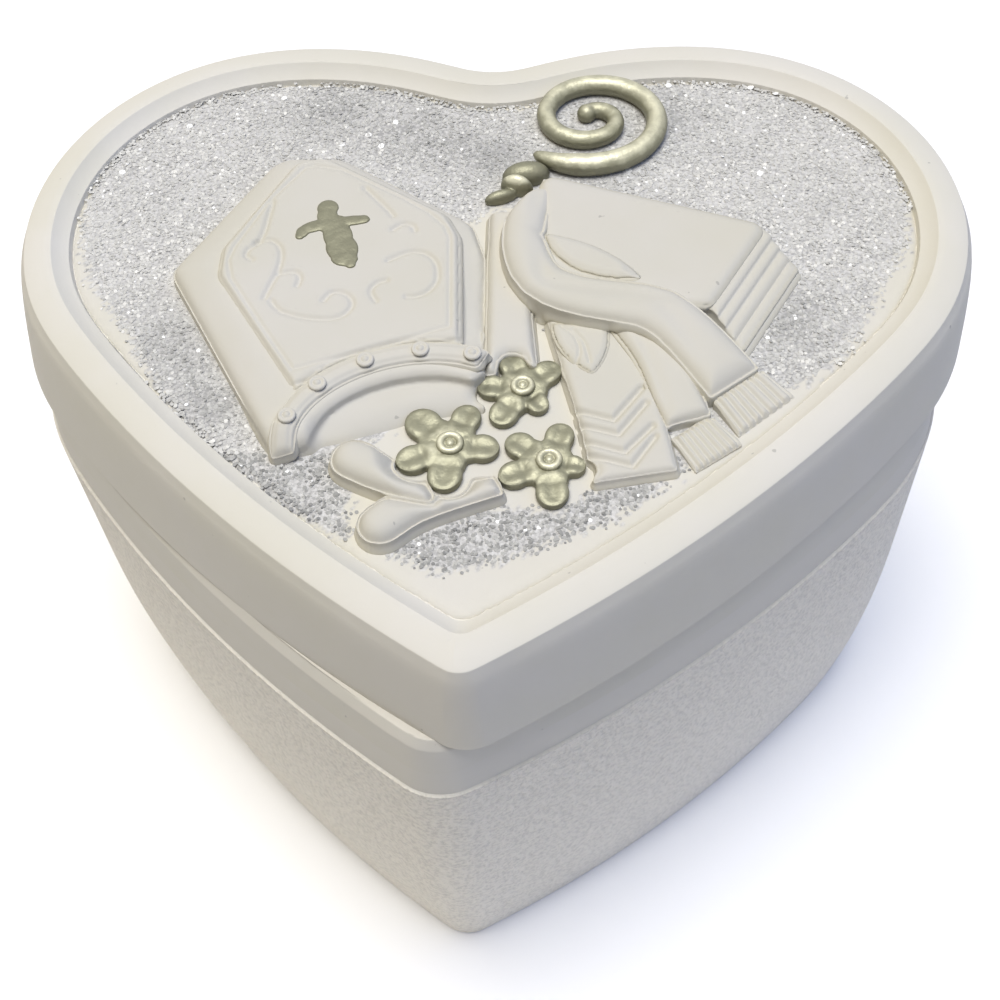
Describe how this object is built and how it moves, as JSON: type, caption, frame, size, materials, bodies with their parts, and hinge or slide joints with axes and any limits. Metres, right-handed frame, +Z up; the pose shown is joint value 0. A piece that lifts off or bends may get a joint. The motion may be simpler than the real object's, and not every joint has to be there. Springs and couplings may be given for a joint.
{
  "type": "heart trinket box",
  "caption": "Heart-shaped cast resin trinket box with a loose lid; a mitre, crosier, book, stole and flowers stand in relief on a glittered field inside a raised frame.",
  "frame": {"origin": "on the flat underside of the base, straight below the middle of the lid's two lobes", "axes": "+X along the heart's width, to the right as the emblems are read; +Y from the heart's tip to its cleft; +Z up out of the lid"},
  "size_m": [0.0915, 0.0751, 0.0636],
  "materials": {
    "resin": "smooth matte cast resin, off-white",
    "sandy_resin": "fine sandy grain cast in the resin, smooth on the neck band",
    "glitter": "silver glitter flakes in clear lacquer",
    "gilt": "olive gold metallic paint"
  },
  "bodies": {
    "base": {"base_box": "sandy_resin"},
    "lid": {"lid_shell": "resin", "glitter_bed": "glitter", "flower_left": "gilt", "flower_centre_left": "gilt", "flower_top": "gilt", "flower_centre_top": "gilt", "flower_right": "gilt", "flower_centre_right": "gilt", "crosier_head": "gilt", "crosier_collar_upper": "gilt", "crosier_collar_lower": "gilt", "crosier_staff": "resin", "book_back_cover": "resin", "book_pages": "resin", "book_cover": "resin", "sash": "resin", "sash_leaf": "resin", "stole_lower": "resin", "stole_fringe_lower": "resin", "mitre_body": "resin", "mitre_band": "resin", "mitre_front": "resin", "mitre_cross": "gilt", "mitre_stud_1": "resin", "mitre_stud_2": "resin", "mitre_stud_3": "resin", "mitre_stud_4": "resin", "mitre_stud_5": "resin", "lappet_upper": "resin", "lappet_lower": "resin", "stole_fold": "resin", "stole_upper": "resin", "stole_fringe_upper": "resin"}
  },
  "joints": [
    {"name": "lid_lift", "type": "slide", "parent": "base", "child": "lid", "axis": [0, 0, 1], "range_m": [0, 0.06]}
  ]
}
